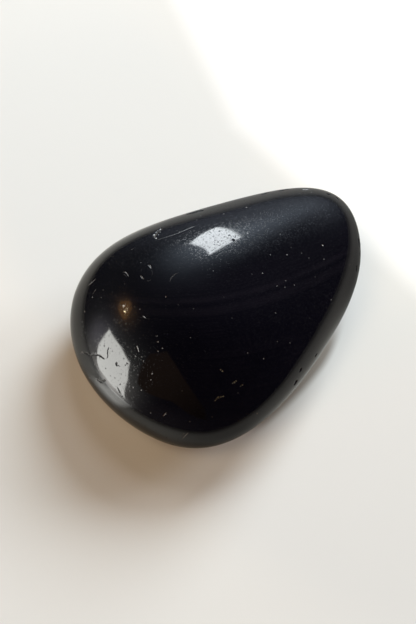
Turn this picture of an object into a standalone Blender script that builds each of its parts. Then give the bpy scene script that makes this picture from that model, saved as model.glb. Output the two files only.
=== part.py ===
"""Tumbled obsidian stone, one solid piece of volcanic glass.

A broken chunk is blocked out by its belly, an ellipsoid, and by the flat
faces along which it broke.  Tumbling has worn all the edges between those
faces round and left a smooth, convex, pear-shaped stone: wide at -X, narrow
at +X, domed on top, and lying on a small flat that the underside has.

Frame: metres, +Z up.  The origin is under the middle of the stone, level
with the flat it lies on.  +X runs along the stone to its narrow end.
"""
import math

import bmesh
import bpy
from mathutils import Vector

MM = 0.001

# ---- Driving dimensions, in millimetres and degrees ----------------------

# Half-lengths of the belly, along X, Y and Z.
BELLY = (32.3, 24.8, 11.7)

# How far the edges are worn.  2 melts the faces away, 20 leaves them sharp.
WEAR = 5.0

# The faces of the chunk: where each one looks (its bearing from +X towards
# +Y, and its slope above the horizon) and how far it is from the middle.
FACES = (
    # name            bearing  slope  distance
    ("nose",               -9,    -4,   24.8),
    ("back_flank",         72,     6,   15.0),
    ("west_flank",        134,    17,   21.9),
    ("south_flank",      -163,    17,   22.6),
    ("front_low",        -119,    46,   15.7),
    ("front_flank",       -64,    22,   17.6),
    ("front_bevel",       -69,    54,   13.9),
    ("back_bevel",         69,    59,   11.8),
    ("west_top",          165,    62,   11.8),
    ("nose_top",           -2,    77,   18.1),
    ("crown",              20,    87,   10.2),
    ("skirt_nose",         -2,   -63,   18.1),
    ("skirt_back",         75,   -44,   13.7),
    ("skirt_end",         181,   -58,   18.1),
    ("skirt_front",       -72,   -50,   13.0),
    ("under",               0,   -90,    9.35),
)

# Where the middle of the belly lies, from the origin.
MIDDLE = (-0.87, 0.87, 8.51)

# The block that levels the underside: it reaches up to the table, at z = 0.
TABLE_BLOCK = (60.0, 48.0, 6.0)

# Each step of subdivision halves the facets: 5 gives them edges of 1 mm.
SUBDIVISIONS = 5

# The glass itself.
COLOUR = (0.0060, 0.0058, 0.0068, 1.0)
ROUGHNESS = 0.12
IOR = 1.50


def looking(bearing, slope):
    """Unit vector that points along a bearing and a slope, in degrees."""
    b, s = math.radians(bearing), math.radians(slope)
    return Vector((math.cos(b) * math.cos(s), math.sin(b) * math.cos(s), math.sin(s)))


PLANES = [(looking(bearing, slope), distance) for _, bearing, slope, distance in FACES]


def reach(direction):
    """Distance in mm from the middle to the worn surface, along a unit vector.

    The belly and each face alone would stop the ray at some distance.  Those
    are combined with the power WEAR, so the nearest one rules, and where two
    are about as near the edge between them is rounded.
    """
    belly = math.sqrt(sum((c / h) ** 2 for c, h in zip(direction, BELLY)))
    total = belly ** WEAR
    for normal, distance in PLANES:
        lean = normal.dot(direction)
        if lean > 0.0:
            total += (lean / distance) ** WEAR
    return total ** (-1.0 / WEAR)


def new_collection(name):
    collection = bpy.data.collections.new(name)
    bpy.context.scene.collection.children.link(collection)
    return collection


def obsidian():
    """Jet-black glass with a worn polish."""
    material = bpy.data.materials.new("obsidian")
    material.use_nodes = True
    shader = material.node_tree.nodes["Principled BSDF"]
    shader.inputs["Base Color"].default_value = COLOUR
    shader.inputs["Roughness"].default_value = ROUGHNESS
    shader.inputs["Metallic"].default_value = 0.0
    shader.inputs["IOR"].default_value = IOR
    material.diffuse_color = COLOUR
    return material


def add_stone(collection):
    """The worn chunk: a ball of even facets, drawn out to its surface."""
    bm = bmesh.new()
    bmesh.ops.create_icosphere(bm, subdivisions=SUBDIVISIONS, radius=1.0)
    middle = Vector(MIDDLE)
    for vert in bm.verts:
        direction = vert.co.normalized()
        vert.co = (middle + direction * reach(direction)) * MM
    mesh = bpy.data.meshes.new("obsidian_stone")
    bm.to_mesh(mesh)
    bm.free()
    mesh.materials.append(obsidian())
    stone = bpy.data.objects.new("obsidian_stone", mesh)
    collection.objects.link(stone)
    return stone


def add_table_block(collection):
    """Cutter: a block with its top face at z = 0."""
    bm = bmesh.new()
    bmesh.ops.create_cube(bm, size=1.0)
    for vert in bm.verts:
        vert.co = Vector((vert.co.x * TABLE_BLOCK[0], vert.co.y * TABLE_BLOCK[1],
                          (vert.co.z - 0.5) * TABLE_BLOCK[2])) * MM
    mesh = bpy.data.meshes.new("table_block")
    bm.to_mesh(mesh)
    bm.free()
    block = bpy.data.objects.new("table_block", mesh)
    collection.objects.link(block)
    block.hide_render = True
    block.display_type = "WIRE"
    return block


def main():
    for old in list(bpy.data.objects):
        bpy.data.objects.remove(old, do_unlink=True)

    parts = new_collection("obsidian_chunk")
    cutters = new_collection("cutters")

    stone = add_stone(parts)
    block = add_table_block(cutters)

    level = stone.modifiers.new("resting flat", "BOOLEAN")
    level.operation = "DIFFERENCE"
    level.solver = "EXACT"
    level.object = block

    stone.data.shade_smooth()
    stone.data.set_sharp_from_angle(angle=math.radians(30.0))


main()
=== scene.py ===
"""Looks of the tumbled obsidian stone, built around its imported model.

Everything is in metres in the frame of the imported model: +Z up, the origin
under the middle of the stone, +X along the stone to its narrow end. The
shape and its marks are worked out in millimetres from the stone's middle.
"""

import math

import bmesh
import bpy
import numpy as np
from mathutils import Matrix, Vector


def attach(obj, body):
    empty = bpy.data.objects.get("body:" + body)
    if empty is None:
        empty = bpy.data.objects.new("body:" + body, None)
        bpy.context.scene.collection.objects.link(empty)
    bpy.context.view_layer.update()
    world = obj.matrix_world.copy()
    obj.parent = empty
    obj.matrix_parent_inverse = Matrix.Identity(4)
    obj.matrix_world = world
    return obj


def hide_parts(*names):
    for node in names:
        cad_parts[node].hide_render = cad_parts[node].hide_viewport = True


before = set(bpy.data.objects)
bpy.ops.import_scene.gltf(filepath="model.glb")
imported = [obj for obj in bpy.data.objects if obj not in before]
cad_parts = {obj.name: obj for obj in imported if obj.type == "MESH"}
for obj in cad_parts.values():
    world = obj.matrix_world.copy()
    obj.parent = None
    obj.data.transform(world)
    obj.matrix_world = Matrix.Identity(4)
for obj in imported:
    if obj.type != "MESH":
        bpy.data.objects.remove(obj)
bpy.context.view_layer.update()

MM = 0.001

# ---- The stone's shape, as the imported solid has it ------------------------
# The same worn faces, in millimetres and degrees, and the same blend.
BELLY = (32.3, 24.8, 11.7)
WEAR = 5.0
FACES = (
    ("nose",               -9,    -4,   24.8),
    ("back_flank",         72,     6,   15.0),
    ("west_flank",        134,    17,   21.9),
    ("south_flank",      -163,    17,   22.6),
    ("front_low",        -119,    46,   15.7),
    ("front_flank",       -64,    22,   17.6),
    ("front_bevel",       -69,    54,   13.9),
    ("back_bevel",         69,    59,   11.8),
    ("west_top",          165,    62,   11.8),
    ("nose_top",           -2,    77,   18.1),
    ("crown",              20,    87,   10.2),
    ("skirt_nose",         -2,   -63,   18.1),
    ("skirt_back",         75,   -44,   13.7),
    ("skirt_end",         181,   -58,   18.1),
    ("skirt_front",       -72,   -50,   13.0),
    ("under",               0,   -90,    9.35),
)
MIDDLE = np.array((-0.87, 0.87, 8.51))

FINENESS = 7            # steps of subdivision of the even ball
SKIN = 0.9960           # keeps the fine surface just inside the faceted solid's box
UNEVEN = 0.0012         # mm, the slight waves that tumbling leaves on the faces


def looking(bearing, slope):
    b, s = math.radians(bearing), math.radians(slope)
    return (math.cos(b) * math.cos(s), math.sin(b) * math.cos(s), math.sin(s))


NORMALS = np.array([looking(b, s) for _, b, s, _ in FACES])
DISTANCES = np.array([d for _, _, _, d in FACES])


def unit(v):
    return v / np.linalg.norm(v, axis=-1, keepdims=True)


def gauge(p):
    """1 on the worn surface, less inside; p in mm from the middle."""
    total = ((p / BELLY) ** 2).sum(-1) ** (WEAR / 2)
    for normal, distance in zip(NORMALS, DISTANCES):
        total = total + (np.maximum(p @ normal, 0.0) / distance) ** WEAR
    return total ** (1.0 / WEAR)


def outward(p):
    """Unit normal of the worn surface at p, in mm from the middle."""
    g = (((p / BELLY) ** 2).sum(-1, keepdims=True)) ** (WEAR / 2 - 1) * p / np.square(BELLY)
    for normal, distance in zip(NORMALS, DISTANCES):
        lean = np.maximum(p @ normal, 0.0)[..., None] / distance
        g = g + lean ** (WEAR - 1) * normal / distance
    return unit(g)


def on_surface(p):
    """Points of the worn surface in the directions of p from the middle."""
    d = unit(p)
    return d * (SKIN / gauge(d))[:, None]


# ---- The camera, which the marks are also placed with ---------------------
VIEW_BEARING = -36.26     # 0 looks along +Y, 90 along -X
VIEW_TILT = 66.0          # above the horizon
VIEW_DISTANCE = 230.0     # mm
VIEW_FOCUS = 1644.5       # pixels of a 416 x 624 picture
VIEW_TARGET = (-3.06, 0.70, 7.87)
WIDE, HIGH = 416, 624

a, e = math.radians(VIEW_BEARING), math.radians(VIEW_TILT)
BACK = np.array((math.sin(a) * math.cos(e), -math.cos(a) * math.cos(e), math.sin(e)))
RIGHT = np.array((math.cos(a), math.sin(a), 0.0))
UP = np.cross(BACK, RIGHT)
EYE = np.array(VIEW_TARGET) + VIEW_DISTANCE * BACK


def add_camera():
    data = bpy.data.cameras.new("camera")
    data.sensor_fit = "AUTO"
    data.sensor_width = 36.0
    data.lens = 36.0 * VIEW_FOCUS / HIGH
    data.clip_start = 0.01
    data.clip_end = 50.0
    camera = bpy.data.objects.new("camera", data)
    bpy.context.scene.collection.objects.link(camera)
    turn = Matrix((RIGHT, UP, BACK)).transposed().to_4x4()
    camera.matrix_world = Matrix.Translation(Vector(EYE * MM)) @ turn
    bpy.context.scene.camera = camera


def seen_at(points):
    """Points of the surface under points of the picture, in mm from the middle.

    Beside the outline, the point of the surface that is nearest to the line of sight.
    """
    points = np.asarray(points, float)
    ray = unit(-BACK + ((points[:, :1] - WIDE / 2) * RIGHT
                        + (HIGH / 2 - points[:, 1:]) * UP) / VIEW_FOCUS)
    start = EYE - MIDDLE
    near, far = np.full(len(ray), VIEW_DISTANCE - 40), np.full(len(ray), VIEW_DISTANCE + 40)
    for _ in range(60):
        one, two = near + (far - near) / 3, far - (far - near) / 3
        lower = gauge(start + one[:, None] * ray) < gauge(start + two[:, None] * ray)
        near, far = np.where(lower, near, one), np.where(lower, two, far)
    deepest = (near + far) / 2
    outside, inside = deepest - 60, deepest
    for _ in range(50):
        half = (outside + inside) / 2
        within = gauge(start + half[:, None] * ray) < SKIN
        outside, inside = np.where(within, outside, half), np.where(within, half, inside)
    return on_surface(start + inside[:, None] * ray)


# ---- Marks: chips, pits, cracks and scratches ------------------------------
# Where each shows in the picture, in its pixels, then width and depth in mm
# and how whitened the broken glass is, from 0 to 1.
CRACKS = (      # ragged and steep
    (((80.0, 352.6), (83.0, 352.4), (86.8, 353.6), (89.5, 355.2), (92.9, 354.7), (96.0, 354.7),
      (98.3, 355.2), (101.3, 356.8), (104.0, 358.9), (105.9, 358.5)), 0.17, 0.080, 0.05),
    (((109.0, 346.7), (107.8, 350.0), (107.4, 352.5), (107.6, 356.0), (106.5, 358.6)), 0.11, 0.045, 0.0),
    (((96.0, 379.2), (99.0, 381.1), (101.7, 381.5), (104.4, 380.3), (104.6, 379.0)), 0.27, 0.09, 0.05),
)
SCRATCHES = (   # thin, fading out at both ends
    (((117.0, 386.8), (119.0, 390.4), (121.4, 394.7)), 0.14, 0.05, 0.0),
    (((155.1, 240.4), (166.0, 237.0), (178.5, 232.8), (189.0, 228.4), (196.5, 225.6)), 0.085, 0.022, 0.22),
    (((95.8, 278.4), (91.5, 282.6), (87.7, 285.6)), 0.12, 0.030, 0.30),
    (((96.3, 288.4), (94.0, 291.8), (92.5, 294.2)), 0.09, 0.020, 0.12),
    (((136.5, 345.7), (138.6, 352.2)), 0.15, 0.035, 0.22),
    (((162.9, 416.2), (166.4, 412.7)), 0.15, 0.035, 0.26),
    (((142.0, 315.6), (145.8, 318.4)), 0.13, 0.030, 0.18),
    (((137.0, 316.7), (150.4, 319.1)), 0.06, 0.012, 0.05),
    (((182.4, 438.7), (185.5, 435.5), (188.4, 432.7)), 0.11, 0.030, 0.25),
    (((180.9, 436.6), (184.6, 433.0)), 0.08, 0.020, 0.12),
    (((131.0, 249.6), (133.6, 248.2)), 0.12, 0.025, 0.16),
    (((116.9, 361.9), (116.4, 364.2), (117.2, 366.2)), 0.26, 0.070, 0.0),
    (((117.4, 365.0), (120.3, 366.3)), 0.10, 0.030, 0.0),
)
CRESCENTS = (   # knocks from other stones, widest in the middle
    (((122.8, 272.3), (124.6, 272.0), (126.6, 273.2), (128.0, 275.2), (128.6, 277.0)), 0.15, 0.045, 0.24),
    (((123.0, 273.9), (125.3, 275.1), (127.0, 277.2)), 0.08, 0.020, 0.08),
    (((147.1, 265.0), (149.0, 265.2), (150.6, 266.6), (151.5, 268.9)), 0.24, 0.055, 0.20),
    (((140.2, 275.0), (141.8, 277.3), (144.2, 279.4)), 0.20, 0.050, 0.22),
    (((146.3, 280.6), (148.9, 280.6), (151.2, 279.1)), 0.10, 0.022, 0.10),
    (((150.9, 269.0), (152.4, 272.5), (151.6, 276.6)), 0.09, 0.018, 0.05),
    (((178.4, 272.5), (175.6, 273.6), (172.8, 275.9), (170.8, 278.6), (170.0, 281.8)), 0.17, 0.040, 0.14),
    (((143.6, 266.9), (141.4, 269.6), (140.7, 272.4)), 0.07, 0.014, 0.04),
)
CHIPS = (       # shell-shaped scoops, from one end to the other
    (((186.4, 214.4), (203.6, 210.1)), 0.66, 0.210, 0.00),
    (((261.0, 194.7), (268.6, 192.4)), 0.38, 0.230, 0.00),
    (((278.8, 191.1), (288.8, 188.8)), 0.38, 0.230, 0.00),
    (((302.0, 189.4), (309.0, 189.0)), 0.36, 0.090, 0.75),
    (((326.4, 193.2), (331.4, 195.4)), 0.32, 0.190, 0.00),
    (((335.8, 197.0), (339.4, 199.6)), 0.30, 0.180, 0.00),
    (((358.5, 237.4), (359.6, 246.8)), 0.42, 0.250, 0.00),
    (((359.9, 251.6), (360.4, 256.2)), 0.34, 0.200, 0.00),
    (((357.0, 264.8), (356.6, 271.6)), 0.26, 0.130, 0.00),
    (((299.8, 372.0), (301.6, 367.6)), 0.40, 0.200, 0.02),
    (((294.0, 385.6), (297.6, 379.6)), 0.46, 0.240, 0.02),
    (((315.0, 357.0), (317.2, 353.2)), 0.30, 0.140, 0.00),
    (((169.5, 443.8), (174.0, 445.0)), 0.36, 0.100, 0.00),
    (((153.4, 236.8), (157.4, 231.0)), 0.46, 0.100, 0.05),
    (((157.6, 231.6), (161.4, 227.8)), 0.36, 0.090, 0.05),
    (((232.6, 239.0), (234.8, 240.9)), 0.30, 0.090, 0.00),
)
PITS = (        # place, width, depth, whitening
    (122.4, 396.8, 0.22, 0.060, 0.00), (127.3, 363.5, 0.18, 0.050, 0.05), (125.4, 365.2, 0.14, 0.040, 0.00),
    (121.2, 374.0, 0.12, 0.035, 0.00), (112.6, 351.0, 0.10, 0.030, 0.00), (104.2, 345.6, 0.16, 0.040, 0.00),
    (105.6, 368.2, 0.13, 0.035, 0.00), (115.0, 378.0, 0.12, 0.030, 0.00), (120.2, 384.6, 0.14, 0.035, 0.00),
    (119.4, 392.9, 0.16, 0.040, 0.00), (110.4, 375.9, 0.12, 0.030, 0.00), (124.0, 358.6, 0.12, 0.030, 0.00),
    (81.8, 352.0, 0.15, 0.045, 0.85), (83.3, 353.2, 0.13, 0.040, 0.75), (80.6, 353.3, 0.12, 0.040, 0.60),
    (86.9, 352.5, 0.13, 0.040, 0.50), (99.4, 357.6, 0.10, 0.030, 0.25),
    (82.0, 322.0, 0.16, 0.040, 0.12), (82.9, 326.6, 0.14, 0.035, 0.10), (82.4, 330.4, 0.13, 0.035, 0.08),
    (85.3, 332.7, 0.14, 0.040, 0.20), (81.6, 335.4, 0.15, 0.035, 0.12), (83.6, 338.4, 0.12, 0.030, 0.08),
    (219.5, 230.9, 0.13, 0.040, 0.00), (213.0, 236.6, 0.09, 0.028, 0.00), (229.2, 235.0, 0.12, 0.035, 0.00),
    (228.0, 237.9, 0.11, 0.032, 0.00), (231.2, 236.9, 0.09, 0.026, 0.00), (235.6, 236.6, 0.11, 0.030, 0.00),
    (215.0, 240.2, 0.11, 0.032, 0.00), (218.0, 241.9, 0.13, 0.038, 0.00), (221.5, 240.8, 0.10, 0.030, 0.00),
    (214.4, 244.4, 0.10, 0.030, 0.00), (218.8, 245.2, 0.09, 0.026, 0.00), (206.0, 241.8, 0.08, 0.024, 0.00),
    (203.4, 239.0, 0.08, 0.024, 0.00), (224.5, 236.6, 0.08, 0.024, 0.00), (209.8, 234.4, 0.08, 0.024, 0.00),
    (160.4, 228.9, 0.22, 0.050, 0.85), (154.2, 234.5, 0.25, 0.050, 0.90), (156.1, 238.1, 0.24, 0.050, 0.90),
    (158.6, 234.6, 0.17, 0.040, 0.50), (160.0, 231.8, 0.15, 0.040, 0.45), (154.6, 236.6, 0.20, 0.040, 0.60), (157.4, 232.2, 0.18, 0.040, 0.55), (177.0, 230.4, 0.14, 0.030, 0.14),
    (179.6, 231.8, 0.12, 0.030, 0.22), (85.8, 357.6, 0.12, 0.030, 0.15), (89.4, 377.8, 0.17, 0.040, 0.25),
    (98.6, 392.4, 0.18, 0.045, 0.40), (166.6, 437.5, 0.24, 0.070, 0.05), (301.2, 368.8, 0.16, 0.050, 0.15),
    (350.4, 265.0, 0.26, 0.030, 0.06), (189.8, 421.8, 0.14, 0.040, 0.22),
)
SPECKS = (      # small bruises that catch the light: place, width, whitening
    (84.4, 311.5, 0.17, 0.75), (103.0, 289.9, 0.13, 0.35), (101.1, 297.5, 0.13, 0.25), (92.2, 297.5, 0.20, 0.14),
    (165.7, 296.7, 0.17, 0.45), (139.8, 309.1, 0.16, 0.30), (190.5, 337.5, 0.14, 0.30), (156.8, 336.0, 0.16, 0.18),
    (157.6, 341.9, 0.24, 0.22), (162.1, 348.3, 0.20, 0.20), (157.9, 351.3, 0.18, 0.28), (135.0, 356.6, 0.18, 0.12),
    (141.1, 357.0, 0.17, 0.12), (142.8, 361.2, 0.17, 0.14), (151.8, 373.6, 0.20, 0.20), (150.5, 379.8, 0.18, 0.18),
    (141.1, 390.1, 0.17, 0.42), (132.7, 387.2, 0.17, 0.12), (150.3, 412.9, 0.17, 0.15), (246.3, 207.3, 0.17, 0.70),
    (223.8, 213.7, 0.16, 0.35), (200.6, 215.8, 0.16, 0.45), (196.8, 219.6, 0.14, 0.28), (322.8, 245.3, 0.19, 0.85),
    (287.1, 254.6, 0.19, 0.40), (270.4, 254.7, 0.15, 0.30), (324.0, 259.2, 0.18, 0.22), (301.8, 253.0, 0.16, 0.18),
    (308.9, 257.9, 0.16, 0.18), (262.6, 273.0, 0.16, 0.60), (286.0, 280.6, 0.16, 0.28), (294.5, 284.8, 0.18, 0.20),
    (277.3, 285.9, 0.18, 0.18), (285.2, 287.1, 0.16, 0.18), (291.3, 247.4, 0.13, 0.12), (331.4, 299.6, 0.16, 0.35),
    (275.6, 312.8, 0.15, 0.30), (263.7, 358.6, 0.15, 0.30), (247.6, 352.9, 0.15, 0.25), (290.0, 342.9, 0.14, 0.22),
    (277.5, 341.4, 0.14, 0.20), (257.4, 413.7, 0.16, 0.35), (178.1, 304.7, 0.14, 0.12), (193.4, 308.5, 0.14, 0.12),
    (213.0, 270.4, 0.15, 0.20), (124.5, 283.7, 0.15, 0.10), (140.8, 262.6, 0.14, 0.12), (311.4, 192.0, 0.15, 0.40),
    (299.9, 193.4, 0.15, 0.25), (280.2, 234.0, 0.14, 0.18), (252.0, 274.0, 0.14, 0.12), (315.4, 276.8, 0.15, 0.10),
    (247.6, 233.4, 0.13, 0.25), (232.0, 318.0, 0.12, 0.12), (205.0, 351.0, 0.12, 0.10), (224.0, 297.0, 0.12, 0.10),
    (310.0, 318.0, 0.12, 0.10), (238.0, 393.0, 0.13, 0.10), (212.0, 417.0, 0.13, 0.12), (182.0, 391.0, 0.12, 0.10),
)
STAINS = (      # pits with a trace of ochre in them: place, width
    (222.4, 371.0, 0.24), (220.6, 369.6, 0.16), (234.5, 382.3, 0.24), (236.2, 381.2, 0.18), (232.6, 383.4, 0.15),
    (242.4, 385.0, 0.22), (240.6, 386.2, 0.13), (218.2, 397.6, 0.26), (220.8, 396.9, 0.22), (223.4, 396.4, 0.20),
    (215.2, 400.6, 0.20), (216.6, 399.0, 0.15),
)


def mark(line, width, depth, white, form, ochre=0.0, edge=None):
    """One mark: a line on the surface, and the shape of the hollow along it."""
    line = np.asarray(line, float)
    steps = np.linalg.norm(np.diff(line, axis=0), axis=1)
    along = np.concatenate(((0.0,), np.cumsum(steps)))
    middle = line.mean(axis=0)
    return dict(line=line, along=along, length=along[-1], half=width / 2, depth=depth, white=white,
                form=form, ochre=ochre, middle=middle,
                reach=np.linalg.norm(line - middle, axis=1).max() + width / 2,
                edge=edge or max(0.032, min(0.11, 0.42 * width / 2 + 0.012)))


def rounded(line, pieces):
    """The line with more points, bent smoothly through the given ones."""
    line = np.asarray(line, float)
    if len(line) < 3:
        t = np.linspace(0, 1, pieces + 1)[:, None]
        return line[0] * (1 - t) + line[-1] * t
    ends = np.vstack((2 * line[0] - line[1], line, 2 * line[-1] - line[-2]))
    out = []
    for i in range(len(line) - 1):
        a, b, c, d = ends[i:i + 4]
        for t in np.linspace(0, 1, pieces, endpoint=False):
            out.append(0.5 * (2 * b + (c - a) * t + (2 * a - 5 * b + 4 * c - d) * t * t
                              + (3 * b - a - 3 * c + d) * t ** 3))
    return np.array(out + [line[-1]])


def marks_in_the_picture(rng):
    marks = []
    for points, width, depth, white in CRACKS:
        line = rounded(points, 3)
        line[1:-1] += rng.normal(0.0, 0.16, line[1:-1].shape)
        marks.append(mark(seen_at(line), width, depth, white, "crack"))
    for points, width, depth, white in SCRATCHES:
        marks.append(mark(seen_at(rounded(points, 4)), width, depth, white, "scratch"))
    for points, width, depth, white in CRESCENTS:
        marks.append(mark(seen_at(rounded(points, 4)), width, depth, white, "crescent"))
    for points, width, depth, white in CHIPS:
        marks.append(mark(seen_at(rounded(points, 5)), width, depth, white, "chip"))
    for x, y, width, depth, white in PITS:
        marks.append(mark(seen_at([(x, y)]), width, depth, white, "pit"))
    for x, y, width, white in SPECKS:
        marks.append(mark(seen_at([(x, y)]), width, 0.16 * width, white, "pit"))
    for x, y, width in STAINS:
        marks.append(mark(seen_at([(x, y)]), width, 0.2 * width, 0.26, "pit", ochre=1.0))
    return marks


def marks_elsewhere(rng):
    """The same kinds of marks on the sides that the picture doesn't show."""
    def places(count):
        found = []
        while len(found) < count:
            p = on_surface(rng.normal(size=(1, 3)) * (1.5, 1.1, 0.8))[0]
            n = outward(p)
            hidden = n @ unit(EYE - MIDDLE - p) < -0.02
            clear = all(np.linalg.norm(p - q) > 0.9 for q, _ in found)
            if hidden and clear and p[2] + MIDDLE[2] > 0.25:
                found.append((p, n))
        return found

    def drawn(p, n, bearing, points):
        one = unit(np.cross(n, (0.3, 0.2, 0.93)))
        two = np.cross(n, one)
        c, s = math.cos(bearing), math.sin(bearing)
        points = np.asarray(points, float)
        u = points[:, :1] * c - points[:, 1:] * s
        v = points[:, :1] * s + points[:, 1:] * c
        return on_surface(p + u * one + v * two)

    marks = []
    for p, n in places(9):
        long = rng.uniform(0.7, 2.2)
        marks.append(mark(drawn(p, n, rng.uniform(0, 6.28), rounded(((-long / 2, 0), (long / 2, 0)), 5)),
                          rng.uniform(0.3, 0.65), rng.uniform(0.08, 0.16), 0.03, "chip"))
    for p, n in places(14):
        bend, turn = rng.uniform(0.5, 0.9), rng.uniform(0.8, 2.0)
        arc = [(bend * math.sin(t), bend * (math.cos(t) - 1)) for t in np.linspace(-turn / 2, turn / 2, 9)]
        marks.append(mark(drawn(p, n, rng.uniform(0, 6.28), arc), rng.uniform(0.12, 0.22),
                          rng.uniform(0.025, 0.055), rng.uniform(0.08, 0.25), "crescent"))
    for p, n in places(9):
        long, bow = rng.uniform(0.8, 3.4), rng.uniform(-0.15, 0.15)
        marks.append(mark(drawn(p, n, rng.uniform(0, 6.28), rounded(((-long / 2, 0), (0, bow), (long / 2, 0)), 4)),
                          rng.uniform(0.09, 0.14), rng.uniform(0.02, 0.04), rng.uniform(0.1, 0.3), "scratch"))
    for p, n in places(2):
        x = np.linspace(-1.6, 1.6, 11)
        marks.append(mark(drawn(p, n, rng.uniform(0, 6.28), np.stack((x, rng.normal(0, 0.10, 11)), 1)),
                          0.17, 0.07, 0.05, "crack"))
    for p, n in places(62):
        width = rng.uniform(0.12, 0.24)
        marks.append(mark([p], width, rng.uniform(0.16, 0.3) * width, rng.uniform(0.0, 0.6) ** 1.5, "pit",
                          ochre=float(rng.uniform() < 0.06)))
    return marks


def beside(m, p):
    """Distance of points from a mark's line, and how far along it they are, from 0 to 1."""
    line = m["line"]
    if len(line) == 1:
        return np.linalg.norm(p - line[0], axis=1), np.full(len(p), 0.5)
    best, where = np.full(len(p), 1e9), np.zeros(len(p))
    for a, b, start in zip(line[:-1], line[1:], m["along"]):
        step = b - a
        t = np.clip(((p - a) @ step) / (step @ step), 0.0, 1.0)
        away = np.linalg.norm(p - (a + t[:, None] * step), axis=1)
        closer = away < best
        best[closer] = away[closer]
        where[closer] = (start + t[closer] * np.linalg.norm(step)) / m["length"]
    return best, where


# ---- The surface ------------------------------------------------------------
COARSE = 0.50           # mm, longer than any edge of the even ball


def edge_wanted(p, marks):
    wanted = np.full(len(p), COARSE)
    for m in marks:
        reach = m["reach"] + 1.0
        near = np.where((np.abs(p - m["middle"]) < reach).all(axis=1))[0]
        if len(near):
            away = np.maximum(beside(m, p[near])[0] - m["half"] - 0.02, 0.0)
            wanted[near] = np.minimum(wanted[near], m["edge"] + 0.55 * away)
    return wanted


def split(p, faces, marks):
    """Split long edges near the marks, longest first, keeping the mesh whole."""
    for _ in range(14):
        ends = np.sort(np.concatenate((faces[:, (0, 1)], faces[:, (1, 2)], faces[:, (2, 0)])), axis=1)
        key, back = np.unique(ends[:, 0] * np.int64(len(p)) + ends[:, 1], return_inverse=True)
        edges = np.stack((key // len(p), key % len(p)), 1)
        of_face = back.reshape(3, -1).T
        halfway = (p[edges[:, 0]] + p[edges[:, 1]]) / 2
        length = np.linalg.norm(p[edges[:, 0]] - p[edges[:, 1]], axis=1)
        cut = length > 1.45 * edge_wanted(halfway, marks)
        if not cut.any():
            break
        longest = of_face[np.arange(len(faces)), length[of_face].argmax(axis=1)]
        while True:
            more = cut[of_face].any(axis=1) & ~cut[longest]
            if not more.any():
                break
            cut[longest[more]] = True
        number = np.full(len(edges), -1)
        number[cut] = len(p) + np.arange(cut.sum())
        p = np.concatenate((p, on_surface(halfway[cut])))
        new = number[of_face]
        count = (new >= 0).sum(axis=1)

        def turned(which, first):
            order = (np.arange(3)[None] + first[:, None]) % 3
            return (np.take_along_axis(faces[which], order, 1),
                    np.take_along_axis(new[which], order, 1))

        made = [faces[count == 0]]
        which = count == 3
        (a, b, c), (ab, bc, ca) = faces[which].T, new[which].T
        made += [np.stack(t, 1) for t in ((a, ab, ca), (ab, b, bc), (ca, bc, c), (ab, bc, ca))]
        which = count == 1
        f, n = turned(which, (new[which] >= 0).argmax(axis=1))
        (a, b, c), ab = f.T, n[:, 0]
        made += [np.stack(t, 1) for t in ((a, ab, c), (ab, b, c))]
        which = count == 2
        f, n = turned(which, ((new[which] < 0).argmax(axis=1) + 1) % 3)
        (a, b, c), (ab, bc) = f.T, n[:, :2].T
        across = (np.linalg.norm(p[a] - p[bc], axis=1) < np.linalg.norm(p[ab] - p[c], axis=1))[:, None]
        made.append(np.stack((ab, b, bc), 1))
        made.append(np.where(across, np.stack((a, ab, bc), 1), np.stack((a, ab, c), 1)))
        made.append(np.where(across, np.stack((a, bc, c), 1), np.stack((ab, bc, c), 1)))
        faces = np.concatenate(made)
    return p, faces


def hollowed(p, marks, rng):
    """How deep the marks go at each point, and how white and how ochre it is there."""
    depth, white, ochre = np.zeros(len(p)), np.zeros(len(p)), np.zeros(len(p))
    grain = rng.uniform(0.35, 1.3, len(p))
    for m in marks:
        near = np.where((np.abs(p - m["middle"]) < m["reach"] + 0.1).all(axis=1))[0]
        if not len(near):
            continue
        away, t = beside(m, p[near])
        rough = np.sin(m["middle"].sum() * 7 + np.arange(3) * 2.1)
        if m["form"] == "pit":
            q = p[near] - m["middle"]
            lump = 1 + 0.22 * np.sin(q @ (61, 23, -35) + rough[0] * 3) + 0.16 * np.sin(q @ (-29, 71, 47) + rough[1] * 3)
            s, fade = away / (m["half"] * lump), 1.0
            shape = np.maximum(1 - s ** 2, 0.0) ** 0.8
        elif m["form"] == "chip":
            half = m["half"] * np.sqrt(np.maximum(1 - (2 * t - 1) ** 2, 0.02))
            s = away / half
            shells = 1 + 0.14 * np.cos(13.0 * np.linalg.norm(p[near] - m["line"][0], axis=1) + rough[0])
            fade = (0.55 + 0.45 * t) * shells
            shape = np.maximum(1 - s ** 2, 0.0) ** 0.7
        elif m["form"] == "crack":
            uneven = 1 + 0.35 * np.sin(t * 31 + rough[0] * 3) * np.sin(t * 17 + rough[1] * 3)
            taper = np.clip(np.minimum(t, 1 - t) * 7, 0.25, 1)
            s, fade = away / (m["half"] * uneven * taper), uneven * taper
            shape = np.maximum(1 - s ** 2, 0.0) ** 1.2
        else:
            swell = np.sin(np.pi * np.clip(t, 0.02, 0.98)) ** (0.9 if m["form"] == "crescent" else 0.45)
            beads = 1 + 0.30 * np.sin(m["length"] * t * 21 + rough[0] * 3)
            s, fade = away / (m["half"] * swell), swell * beads
            shape = np.maximum(1 - s ** 2, 0.0) ** 1.2
        depth[near] = np.maximum(depth[near], m["depth"] * fade * shape)
        soft = np.clip((1.05 - s) * 3.0, 0.0, 1.0)
        pale = m["white"] * soft * grain[near]
        white[near] = np.maximum(white[near], pale)
        ochre[near] = np.maximum(ochre[near], m["ochre"] * soft)
    return depth, np.clip(white, 0, 1), ochre


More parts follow.
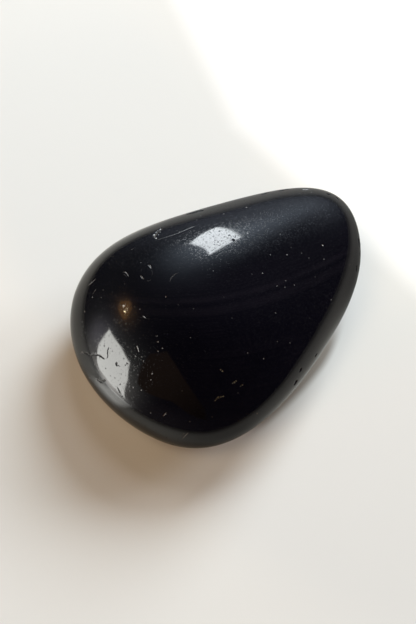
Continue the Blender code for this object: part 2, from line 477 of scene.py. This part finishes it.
def waves(p, rng):
    """Faint waves left by the tumbling, 0 to 1, and their slope."""
    height, slope = np.zeros(len(p)), np.zeros_like(p)
    runs = unit(rng.normal(size=(14, 3))) * (2 * np.pi / rng.uniform(3.0, 8.0, (14, 1)))
    phases = rng.uniform(0, 2 * np.pi, 14)
    for run, phase in zip(runs, phases):
        height += np.sin(p @ run + phase)
        slope += np.cos(p @ run + phase)[:, None] * run
    return height / 14, slope / 14


def worn_level(z):
    """Heights with the underside levelled at z = 0, by a flat with a worn edge."""
    k = 0.08
    soft = (z + np.sqrt(z * z + k * k)) / 2
    lowest = (MIDDLE[2] - 8.71 * 1.0)
    return soft - (lowest + math.sqrt(lowest * lowest + k * k)) / 2


def stone_mesh():
    bm = bmesh.new()
    bmesh.ops.create_icosphere(bm, subdivisions=FINENESS, radius=1.0)
    ball = np.array([v.co for v in bm.verts])
    faces = np.array([[v.index for v in f.verts] for f in bm.faces])
    bm.free()

    rng = np.random.RandomState(41)
    marks = marks_in_the_picture(rng) + marks_elsewhere(rng)
    p, faces = split(on_surface(ball), faces, marks)
    normal = outward(p)
    depth, white, ochre = hollowed(p, marks, rng)
    height, slope = waves(p, rng)
    level = unit(normal - UNEVEN * 14 * (slope - (slope * normal).sum(1, keepdims=True) * normal))
    q = p + MIDDLE - normal * (depth + UNEVEN * 14 * (1 - height))[:, None]
    q[:, 2] = worn_level(q[:, 2])

    mesh = bpy.data.meshes.new("obsidian_surface")
    mesh.from_pydata((q * MM).tolist(), [], faces.tolist())
    mesh.update()
    mesh.shade_smooth()
    for name, values in (("bruise", white), ("ochre", ochre)):
        mesh.attributes.new(name, "FLOAT", "POINT").data.foreach_set("value", values.astype(np.float32))

    # Where nothing marks the surface, its normals are those of the worn form itself.
    met = np.empty(len(q) * 3)
    mesh.vertices.foreach_get("normal", met)
    met = met.reshape(-1, 3)
    touched = depth > 1e-5
    around = touched[faces].any(axis=1)
    beside_mark = np.zeros(len(q), bool)
    beside_mark[faces[around].ravel()] = True
    own = beside_mark | (q[:, 2] < 0.6)
    mesh.normals_split_custom_set_from_vertices(np.where(own[:, None], met, level).tolist())
    print("obsidian_surface", len(faces), "triangles", len(marks), "marks")
    return mesh


class Tree:
    """Short ways to add the nodes of a material."""

    def __init__(self, tree):
        self.nodes, self.links = tree.nodes, tree.links

    def add(self, kind, inputs=(), **settings):
        n = self.nodes.new(kind)
        for name, value in settings.items():
            setattr(n, name, value)
        for name, value in dict(inputs).items():
            if isinstance(value, bpy.types.NodeSocket):
                self.links.new(value, n.inputs[name])
            else:
                n.inputs[name].default_value = value
        return n

    def sum(self, operation, a, b=0.0, c=0.0):
        return self.add("ShaderNodeMath", {0: a, 1: b, 2: c}, operation=operation).outputs[0]

    def vector(self, operation, a, b=(0.0, 0.0, 0.0), scale=1.0):
        inputs = {0: a, 1: b}
        if operation == "SCALE":
            inputs = {0: a, "Scale": scale}
        n = self.add("ShaderNodeVectorMath", inputs, operation=operation)
        return n.outputs["Value" if operation in ("DOT_PRODUCT", "LENGTH") else "Vector"]

    def ramp(self, value, low, high, start=0.0, end=1.0):
        return self.add("ShaderNodeMapRange", {"Value": value, "From Min": low, "From Max": high,
                                               "To Min": start, "To Max": end},
                        interpolation_type="SMOOTHSTEP").outputs["Result"]

    def mixed(self, amount, a, b):
        n = self.add("ShaderNodeMix", data_type="RGBA")
        for socket, value in ((n.inputs[0], amount), (n.inputs[6], a), (n.inputs[7], b)):
            if isinstance(value, bpy.types.NodeSocket):
                self.links.new(value, socket)
            else:
                socket.default_value = value
        return n.outputs[2]

    def noise(self, vector, scale, detail=2.0, rough=0.5, dimensions="3D"):
        key = "W" if dimensions == "1D" else "Vector"
        return self.add("ShaderNodeTexNoise", {key: vector, "Scale": scale, "Detail": detail,
                                               "Roughness": rough},
                        noise_dimensions=dimensions).outputs[0]


def obsidian():
    """Black glass: a faint layered flow, a polish full of tiny pits, and white bruises."""
    m = bpy.data.materials.new("obsidian")
    m.use_nodes = True
    surface = m.node_tree.nodes["Principled BSDF"]
    t = Tree(m.node_tree)

    place = t.add("ShaderNodeTexCoord").outputs["Object"]
    mm = t.vector("SCALE", place, scale=1000.0)
    xyz = t.add("ShaderNodeSeparateXYZ", {0: mm})
    x, y, z = xyz.outputs

    # Height across the flow: sheets that run along the stone, bent and dipping.
    square = t.sum("MULTIPLY", x, x)
    curve = t.sum("MULTIPLY_ADD", t.sum("MULTIPLY", square, x), 0.000294, t.sum("MULTIPLY", square, -0.01057))
    across = t.sum("ADD", t.sum("MULTIPLY_ADD", x, 0.412, y), t.sum("MULTIPLY_ADD", z, 0.8, curve))
    wander = t.sum("SUBTRACT", t.noise(mm, 0.16, 3.0, 0.6), 0.5)
    across = t.sum("MULTIPLY_ADD", wander, 0.5, across)

    def sheet(level, half):
        off = t.sum("ABSOLUTE", t.sum("SUBTRACT", across, level))
        return t.ramp(off, half, 0.0)

    thin = t.ramp(t.noise(across, 1.5, 3.0, 0.7, "1D"), 0.34, 0.66)
    patches = t.noise(mm, 0.24, 3.0, 0.65)
    pair = t.sum("MAXIMUM", sheet(10.55, 1.05), sheet(8.45, 1.15))
    pair = t.sum("MULTIPLY", pair, t.ramp(x, 8.0, 20.0, 1.0, 0.7))
    pair = t.sum("MULTIPLY", pair, t.sum("MULTIPLY", t.ramp(patches, 0.28, 0.60, 0.40, 0.80), t.sum("MULTIPLY_ADD", thin, 0.45, 0.55)))
    veil = t.sum("MULTIPLY", t.ramp(across, 7.4, 9.4), t.ramp(across, 18.0, 13.0))
    veil = t.sum("MULTIPLY", veil, t.sum("MULTIPLY_ADD", thin, 0.24, 0.06))
    others = t.sum("MULTIPLY", thin, t.ramp(patches, 0.38, 0.66, 0.02, 0.26))
    milk = t.sum("MAXIMUM", t.sum("MAXIMUM", pair, veil), others)
    cloudy = t.sum("MULTIPLY", t.ramp(across, 14.0, 18.6), t.ramp(across, 36.0, 27.0))

    # Pits of the polish: small rough hollows, each in its own cell.
    def pits(cell, small, large, share):
        v = t.add("ShaderNodeTexVoronoi", {"Vector": mm, "Scale": 1.0 / cell}, feature="F1")
        lot = t.add("ShaderNodeSeparateXYZ", {0: v.outputs["Color"]})
        size = t.ramp(lot.outputs[0], 0.0, 1.0, small, large)
        away = t.sum("MULTIPLY", v.outputs["Distance"], cell)
        hollow = t.sum("DIVIDE", t.sum("SUBTRACT", size, away), size)
        hollow = t.ramp(hollow, 0.0, 0.55)
        there = t.sum("LESS_THAN", lot.outputs[1], share)
        return t.sum("MULTIPLY", hollow, there)

    crowd = t.ramp(t.noise(mm, 0.42, 3.0, 0.55), 0.32, 0.72, 0.16, 0.62)
    crowd = t.sum("MAXIMUM", crowd, t.sum("MULTIPLY", cloudy, 0.97))
    pebbles = pits(0.27, 0.045, 0.115, crowd)
    fine_pits = pits(0.15, 0.022, 0.052, t.sum("MULTIPLY", crowd, 0.8))
    pitted = t.sum("MAXIMUM", t.sum("MULTIPLY", pebbles, 0.75), fine_pits)
    # Crystals too small to see one by one, a pale grain in the glass; where it grows stronger, in the cloudy band, on
    # the top and towards the nose, it is also painted sheen of the window light there.
    grain_and_sheen = t.ramp(t.noise(mm, 4.2, 3.0, 0.75), 0.47, 0.70)
    grain_and_sheen = t.sum("MULTIPLY", grain_and_sheen, t.ramp(cloudy, 0.0, 1.0, 0.13, 0.80))
    grain_and_sheen = t.sum("MULTIPLY", grain_and_sheen, t.sum("MULTIPLY", t.ramp(z, 6.5, 12.5, 0.22, 1.0), t.ramp(x, -14.0, 6.0, 0.60, 1.45)))

    bruise = t.add("ShaderNodeAttribute", attribute_name="bruise").outputs["Fac"]
    ochre = t.add("ShaderNodeAttribute", attribute_name="ochre").outputs["Fac"]

    colour = t.mixed(milk, (0.0005, 0.0004, 0.0011, 1.0), (0.0048, 0.0040, 0.0060, 1.0))
    colour = t.mixed(t.sum("MULTIPLY", pitted, 0.6), colour, (0.0060, 0.0060, 0.0068, 1.0))
    # Pale grain of tiny crystals, partly painted sheen.
    colour = t.mixed(t.sum("MULTIPLY", grain_and_sheen, 0.5), colour, (0.036, 0.039, 0.047, 1.0))
    broken = t.mixed(ochre, (0.46, 0.47, 0.48, 1.0), (0.37, 0.33, 0.17, 1.0))
    colour = t.mixed(bruise, colour, broken)

    gloss = t.ramp(t.noise(mm, 0.9, 3.0, 0.6), 0.3, 0.7, 0.050, 0.074)
    gloss = t.sum("MULTIPLY_ADD", pitted, 0.17, gloss)
    gloss = t.sum("MULTIPLY_ADD", bruise, 0.5, gloss)
    gloss = t.sum("MINIMUM", gloss, 0.7)

    depth = t.sum("MULTIPLY_ADD", pebbles, -1.0, t.sum("MULTIPLY", fine_pits, -0.45))
    bump = t.add("ShaderNodeBump", {"Height": depth, "Strength": 0.4, "Distance": 0.000009})

    t.links.new(colour, surface.inputs["Base Color"])
    t.links.new(gloss, surface.inputs["Roughness"])
    t.links.new(bump.outputs["Normal"], surface.inputs["Normal"])
    surface.inputs["IOR"].default_value = 1.5
    return m


def add_stone():
    mesh = stone_mesh()
    mesh.materials.append(obsidian())
    stone = bpy.data.objects.new("obsidian_surface", mesh)
    bpy.context.scene.collection.objects.link(stone)
    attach(stone, "root")
    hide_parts("obsidian_stone")
    return stone


# ---- Studio: pale floor and soft light ------------------------------------
def emitter(name, colour, strength):
    m = bpy.data.materials.new(name)
    m.use_nodes = True
    m.node_tree.nodes.clear()
    t = Tree(m.node_tree)
    light = t.add("ShaderNodeEmission", {"Color": (*colour, 1.0), "Strength": strength})
    t.add("ShaderNodeOutputMaterial", {"Surface": light.outputs[0]})
    return m


def panel(name, corners, colour, strength):
    """A flat soft-box face, seen only in reflections."""
    mesh = bpy.data.meshes.new(name)
    mesh.from_pydata([Vector(c) for c in corners], [], [tuple(range(len(corners)))])
    mesh.materials.append(emitter(name, colour, strength))
    ob = bpy.data.objects.new(name, mesh)
    bpy.context.scene.collection.objects.link(ob)
    ob.visible_camera = False
    ob.visible_diffuse = False
    ob.visible_shadow = False
    return ob


def heading(bearing, slope, far=1.0):
    """A point this far from the stone; bearing 0 is away from the camera, 90 to its right."""
    b, s = math.radians(bearing), math.radians(slope)
    away = Vector((-BACK[0], -BACK[1], 0.0)).normalized()
    level = math.cos(s) * (math.cos(b) * away + math.sin(b) * Vector(RIGHT))
    return far * (level + Vector((0.0, 0.0, math.sin(s))))


def bulb(name, at, radius, colour, strength):
    at = Vector(at)
    side = at.cross(Vector((0, 0, 1))).normalized()
    up = side.cross(at).normalized()
    ring = [at + radius * (math.cos(k * math.pi / 5) * side + math.sin(k * math.pi / 5) * up) for k in range(10)]
    return panel(name, ring, colour, strength)


def area(name, bearing, slope, half, power, colour):
    """A round soft box, as wide as it looks from the stone, in degrees each side."""
    far = 4.0
    data = bpy.data.lights.new(name, "AREA")
    data.shape = "DISK"
    data.size = 2 * far * math.tan(math.radians(half))
    data.energy = power * far * far
    data.color = colour
    ob = bpy.data.objects.new(name, data)
    bpy.context.scene.collection.objects.link(ob)
    ob.location = heading(bearing, slope, far)
    ob.rotation_euler = (Vector((0, 0, 0.005)) - ob.location).to_track_quat("-Z", "Y").to_euler()
    ob.visible_glossy = False
    ob.visible_camera = False
    return ob


ROOM = (0.023, 0.021, 0.042)        # the dim room all around
GLOWS = (                           # soft patches of light in the room
    # bearing, slope, half-width, half-height, lean in degrees, colour
    ("curtain",   10.7, 19.7, 28.0, 19.5,   9.0, (0.62, 0.71, 0.83)),
    ("blind",     -7.9, 39.8, 18.0, 10.1, -33.0, (1.00, 1.21, 1.45)),
    ("sill",    -105.0,  8.0, 15.5, 17.4,  -4.0, (2.60, 2.50, 2.30)),
    ("reveal",   -86.0, 16.0,  5.0,  9.5,   0.0, (0.60, 0.58, 0.70)),
    ("shade",    -78.2, 34.3,  4.6,  5.2,   0.0, (0.60, 0.30, 0.10)),
    ("ceiling",   36.5, 70.0, 48.2, 17.4, -20.0, (0.050, 0.048, 0.070)),
    ("ledge",    -110.0,  2.5, 11.0,  3.6, 0.0, (4.60, 4.50, 4.25)),
    ("near",     -148.0,  6.0, 34.0, 17.0, 0.0, (0.075, 0.062, 0.062)),
    ("wall",     -56.6, 25.5, 27.0, 26.5,   0.0, (0.044, 0.052, 0.042)),
)


def add_room():
    world = bpy.data.worlds.new("room")
    bpy.context.scene.world = world
    world.use_nodes = True
    world.node_tree.nodes.clear()
    t = Tree(world.node_tree)
    toward = t.add("ShaderNodeTexCoord").outputs["Generated"]
    light = None
    for _, bearing, slope, wide, high, lean, colour in GLOWS:
        centre = heading(bearing, slope)
        side = heading(bearing + 90, 0)
        top = side.cross(centre)
        turn = math.radians(lean)
        one = (math.cos(turn) * side + math.sin(turn) * top) / math.sin(math.radians(wide))
        two = (math.cos(turn) * top - math.sin(turn) * side) / math.sin(math.radians(high))
        u, v, w = (t.vector("DOT_PRODUCT", toward, tuple(d)) for d in (one, two, centre * 4))
        fall = t.sum("MULTIPLY", t.sum("MULTIPLY_ADD", u, u, t.sum("MULTIPLY", v, v)), -1.0)
        fall = t.sum("MULTIPLY", t.sum("EXPONENT", fall), t.add("ShaderNodeClamp", {0: w}).outputs[0])
        glow = t.vector("MULTIPLY", fall, colour)
        light = t.vector("ADD", glow, ROOM) if light is None else t.vector("ADD", glow, light)
    path = t.add("ShaderNodeLightPath")
    colour = t.mixed(path.outputs["Is Camera Ray"], light, (0.80, 0.80, 0.79, 1.0))
    shade = t.add("ShaderNodeBackground", {"Color": colour})
    t.add("ShaderNodeOutputWorld", {"Surface": shade.outputs[0]})
    world.cycles_visibility.diffuse = False


def add_floor():
    bm = bmesh.new()
    bmesh.ops.create_circle(bm, cap_ends=True, segments=128, radius=12.0)
    mesh = bpy.data.meshes.new("floor")
    bm.to_mesh(mesh)
    bm.free()
    m = bpy.data.materials.new("floor")
    m.use_nodes = True
    s = m.node_tree.nodes["Principled BSDF"]
    t = Tree(m.node_tree)
    place = t.add("ShaderNodeTexCoord").outputs["Object"]
    away = np.array((-BACK[0], -BACK[1], 0.0)) / math.hypot(BACK[0], BACK[1])

    def along(v, offset=0.0):
        return t.sum("SUBTRACT", t.vector("DOT_PRODUCT", place, tuple(v)), offset)

    far = t.vector("LENGTH", place)
    toward = t.vector("NORMALIZE", place)
    # Painted daylight: the table's colour is lighter on the far side, and a painted pool of light, brighter still, lies
    # beyond a soft border.
    painted_light_pool = t.sum("MINIMUM", along(0.920 * RIGHT + 0.391 * away, 0.0142), along(0.725 * RIGHT + 0.688 * away, 0.0239))
    seen = t.mixed(t.ramp(along(away), -0.06, 0.06), (0.685, 0.687, 0.682, 1.0), (0.790, 0.793, 0.782, 1.0))
    painted_light_pool = t.sum("MULTIPLY", painted_light_pool, t.ramp(far, 0.07, 0.20, 1.0, 0.12))
    painted_light_pool = t.sum("MULTIPLY", t.ramp(painted_light_pool, -0.0022, 0.0026), t.ramp(far, 0.26, 0.07))
    seen = t.mixed(painted_light_pool, seen, (0.95, 0.95, 0.95, 1.0))
    # Painted shade: the table's colour darkens where it runs in under the stone's overhang.
    rim = t.vector("SUBTRACT", place, (-0.00658, 0.02959, 0.0))
    turn = t.vector("DOT_PRODUCT", t.vector("NORMALIZE", rim), (1.0, 0.0, 0.0))
    under = t.sum("ADD", t.vector("LENGTH", rim), t.ramp(turn, 0.30, 0.50, 0.0, 0.0009))
    under = t.sum("MULTIPLY", t.ramp(under, 0.0455, 0.0441), t.ramp(under, 0.034, 0.040))
    under = t.sum("MULTIPLY", under, t.ramp(t.vector("DOT_PRODUCT", rim, (0.0, 1.0, 0.0)), -0.010, -0.030))
    under = t.sum("MULTIPLY", under, t.sum("MULTIPLY", t.ramp(turn, 0.50, 0.36), t.ramp(turn, -0.06, 0.06)))
    seen = t.mixed(under, seen, (0.32, 0.29, 0.26, 1.0))
    # Painted reflected light: in reflections the table takes a painted tone of its own, duller, most of all to the
    # right, and glows with painted glare below the side window.
    side = t.ramp(t.vector("DOT_PRODUCT", toward, tuple(RIGHT)), -1.0, 1.0)
    painted_reflected_tone = t.mixed(side, (0.56, 0.555, 0.520, 1.0), (0.34, 0.34, 0.325, 1.0))
    painted_reflected_tone = t.vector("SCALE", painted_reflected_tone, scale=t.ramp(far, 0.028, 0.20, 1.0, 0.27))
    for bearing, wide, close, distant in ((62, 40, 0.48, 1.0), (0, 40, 0.62, 0.80), (-48, 34, 1.42, 1.42),
                                          (-142, 34, 1.30, 1.30), (180, 26, 0.74, 0.9), (120, 42, 1.60, 1.40)):
        b = math.radians(bearing)
        off = t.vector("DOT_PRODUCT", toward, tuple(math.cos(b) * away + math.sin(b) * RIGHT))
        gain = t.ramp(far, 0.026, 0.060, close - 1.0, distant - 1.0)
        gain = t.sum("MULTIPLY_ADD", t.ramp(off, math.cos(math.radians(wide)), 1.0), gain, 1.0)
        painted_reflected_tone = t.vector("SCALE", painted_reflected_tone, scale=gain)
    mirrored = t.add("ShaderNodeLightPath").outputs["Is Glossy Ray"]
    t.links.new(t.mixed(mirrored, seen, painted_reflected_tone), s.inputs["Base Color"])

    def painted_shine(bearing, wide, near, full, strength):
        b = math.radians(bearing)
        off = t.vector("DOT_PRODUCT", toward, tuple(math.cos(b) * away + math.sin(b) * RIGHT))
        fan = t.ramp(off, math.cos(math.radians(wide)), 1.0)
        return t.sum("MULTIPLY", fan, t.ramp(far, near, full, 0.0, strength))

    # Painted glare: the table glows, in reflections only, below the side window.
    painted_glare = t.sum("ADD", painted_shine(-119.5, 11, 0.028, 0.052, 3.0), painted_shine(-112, 13, 0.11, 0.32, 3.6))
    t.links.new(t.sum("MULTIPLY", painted_glare, mirrored), s.inputs["Emission Strength"])
    s.inputs["Emission Color"].default_value = (1.0, 1.0, 0.95, 1.0)
    m.cycles.emission_sampling = "NONE"
    t.links.new(t.ramp(mirrored, 0.0, 1.0, 0.22, 0.60), s.inputs["Roughness"])
    mesh.materials.append(m)
    floor = bpy.data.objects.new("floor", mesh)
    bpy.context.scene.collection.objects.link(floor)


def add_studio():
    add_floor()
    panel("window_back", ((0.281, 0.768, 0.589), (0.449, 0.829, 0.420), (0.450, 0.761, 0.495),
                          (0.448, 0.622, 0.650), (0.413, 0.624, 0.670), (0.359, 0.619, 0.707),
                          (0.284, 0.615, 0.755), (0.293, 0.648, 0.713), (0.299, 0.680, 0.675),
                          (0.290, 0.720, 0.635)), (0.93, 0.99, 1.03), 16.4)
    panel("window_side", ((-0.733, 0.629, 0.433), (-0.776, 0.492, 0.503), (-0.838, 0.336, 0.538),
                          (-0.925, 0.217, 0.405), (-1.069, 0.083, 0.076), (-1.013, 0.197, 0.094),
                          (-0.972, 0.295, 0.083), (-0.937, 0.371, 0.085), (-0.906, 0.449, 0.070),
                          (-0.874, 0.503, 0.098), (-0.837, 0.548, 0.166), (-0.798, 0.591, 0.244)),
          (1.0, 1.0, 0.95), 10.8)
    shelf = panel("shelf", ((-0.868, 0.264, 0.658), (-0.775, 0.309, 0.791), (-0.651, 0.194, 0.903),
                    (-0.637, -0.027, 0.838), (-0.633, -0.290, 0.744), (-0.632, -0.552, 0.646),
                    (-0.653, -0.831, 0.516), (-0.733, -1.019, 0.345), (-0.793, -0.678, 0.398),
                    (-0.817, -0.350, 0.491), (-0.940, -0.037, 0.456), (-0.963, 0.123, 0.488)),
          (1.0, 0.66, 0.50), 0.11)
    t = Tree(shelf.data.materials[0].node_tree)
    along = t.add("ShaderNodeSeparateXYZ", {0: t.add("ShaderNodeTexCoord").outputs["Object"]}).outputs[1]
    t.links.new(t.ramp(along, -1.0, 0.15, 0.035, 0.150), t.nodes["Emission"].inputs["Strength"])
    panel("lampshade", ((-0.556, 0.660, 0.509), (-0.529, 0.664, 0.532), (-0.487, 0.631, 0.609),
                        (-0.491, 0.607, 0.632), (-0.518, 0.585, 0.628), (-0.563, 0.571, 0.600),
                        (-0.600, 0.563, 0.572), (-0.614, 0.573, 0.548), (-0.601, 0.608, 0.522),
                        (-0.583, 0.642, 0.503)), (1.0, 0.52, 0.22), 1.40)
    bulb("bulb_one", (-0.534, 0.615, 0.541), 0.0036, (1.0, 0.90, 0.78), 120.0)
    bulb("bulb_two", (-0.556, 0.587, 0.549), 0.0040, (1.0, 0.84, 0.52), 160.0)
    bulb("bulb_three", (-0.531, 0.586, 0.576), 0.0026, (1.0, 0.84, 0.55), 90.0)
    area("key",       34, 30, 14, 13.8, (0.869, 0.960, 1.0))
    area("key_high",  16, 54, 10, 1.4, (0.930, 0.970, 1.0))
    area("key_low",   64, 20, 10, 4.7, (0.945, 0.980, 1.0))
    area("top",     -123, 68, 14, 2.3, (1.0, 0.765, 0.506))
    area("front",    148, 10, 10, 5.3, (1.0, 0.660, 0.346))
    area("back",     -45, 10, 10, 3.7, (1.0, 0.820, 0.576))
    area("left",    -120, 20, 10, 1.0, (1.0, 0.370, 0.250))
    add_room()
    bpy.context.scene.view_settings.view_transform = "Standard"


add_camera()
add_stone()
add_studio()
